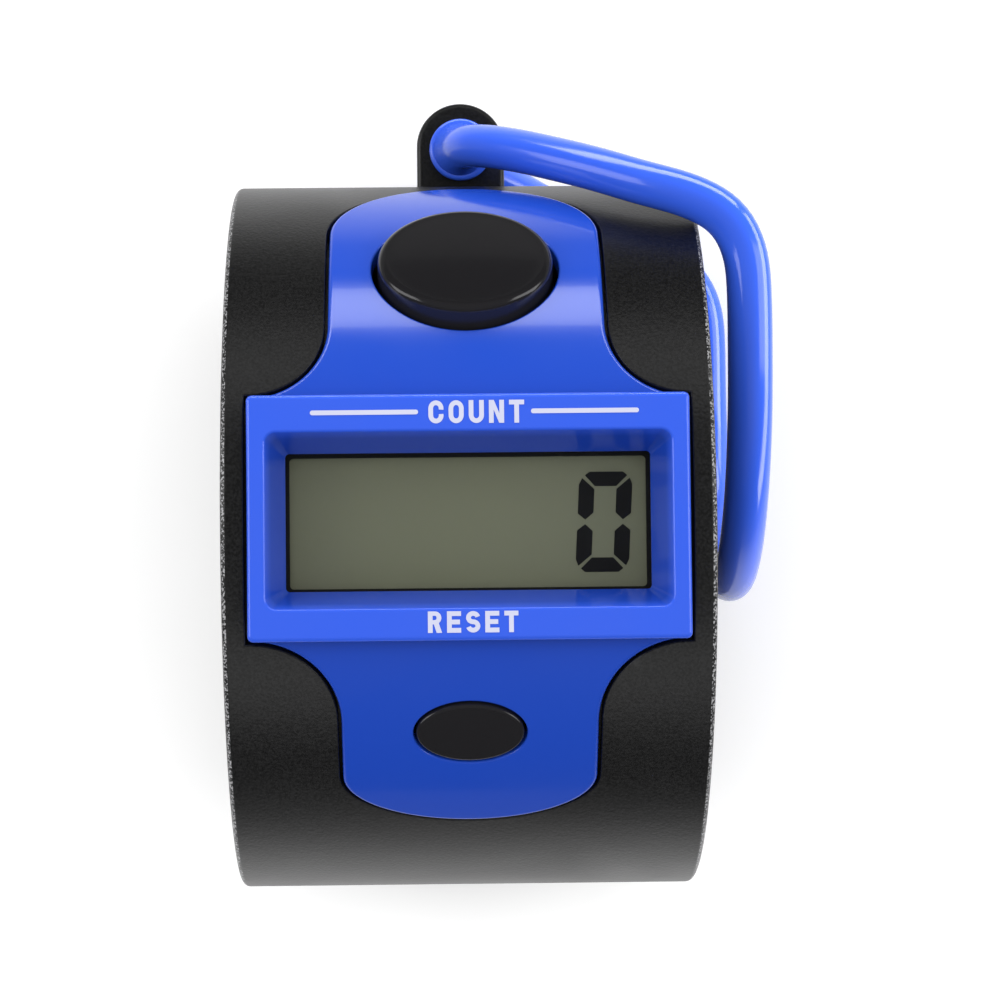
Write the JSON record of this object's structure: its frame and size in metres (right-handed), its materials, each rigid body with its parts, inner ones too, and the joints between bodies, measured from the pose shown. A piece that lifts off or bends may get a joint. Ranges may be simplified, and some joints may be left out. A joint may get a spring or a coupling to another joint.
{
  "type": "hand tally counter",
  "caption": "Drum-shaped hand tally counter with a digital display, a large count button, a small reset button and a swinging finger ring.",
  "frame": {"origin": "centre of the flat back face, which the counter lies on", "axes": "+Z straight out of the display, +X to the display's right, +Y to the top where the ring's lug is"},
  "size_m": [0.0483, 0.0741, 0.0568],
  "materials": {
    "shell_black": "fine spark-eroded black",
    "plate_blue": "glossy blue",
    "ring_blue": "glossy blue",
    "window_clear": "clear acrylic",
    "mask_black": "printed black",
    "display_olive": "olive display glass",
    "strip_rubber": "grey elastomer",
    "holder_white": "white moulding",
    "board_green": "green solder mask",
    "chip_resin": "black resin",
    "button_black": "glossy black",
    "plunger_red": "red moulding",
    "bare_steel": "plated steel",
    "nickel": "nickel plate",
    "lead_red": "red insulation",
    "lead_black": "black insulation"
  },
  "bodies": {
    "case": {"front_shell": "shell_black", "rear_shell": "shell_black", "face_plate": "plate_blue", "window_lens": "window_clear", "display_mask": "mask_black", "lcd_glass": "display_olive", "connector_strip_upper": "strip_rubber", "connector_strip_lower": "strip_rubber", "lcd_holder": "holder_white", "main_board": "board_green", "chip_blob": "chip_resin", "crystal": "bare_steel", "capacitor": "mask_black", "count_switch_body": "chip_resin", "count_switch_board": "board_green", "count_board_screw_left": "bare_steel", "count_board_screw_right": "bare_steel", "reset_switch_body": "chip_resin", "reset_switch_board": "board_green", "reset_board_screw_left": "bare_steel", "reset_board_screw_right": "bare_steel", "board_screw_lower_left": "bare_steel", "board_screw_upper_left": "bare_steel", "board_screw_lower_right": "bare_steel", "board_screw_upper_right": "bare_steel", "case_screw_lower_left": "bare_steel", "case_screw_upper_left": "bare_steel", "case_screw_lower_right": "bare_steel", "case_screw_upper_right": "bare_steel", "button_cell": "nickel", "contact_positive": "nickel", "contact_negative": "nickel", "lead_positive": "lead_red", "lead_negative": "lead_black", "battery_door": "shell_black", "door_screw": "bare_steel"},
    "ring": {"finger_ring": "ring_blue"},
    "count_key": {"count_button": "button_black", "count_switch_plunger": "plunger_red"},
    "reset_key": {"reset_button": "button_black", "reset_switch_plunger": "plunger_red"}
  },
  "joints": [
    {"name": "ring_swing", "type": "hinge", "parent": "case", "child": "ring", "pos_m": [0, 0.0365, 0.0232], "axis": [0, 0, 1], "range_deg": [0, 200]},
    {"name": "count_press", "type": "slide", "parent": "case", "child": "count_key", "axis": [0, -0.6455, -0.7638], "range_m": [0, 0.0009], "stiffness_N_per_m": 900},
    {"name": "reset_press", "type": "slide", "parent": "case", "child": "reset_key", "axis": [0, 0.549, -0.8358], "range_m": [0, 0.0007], "stiffness_N_per_m": 900}
  ]
}
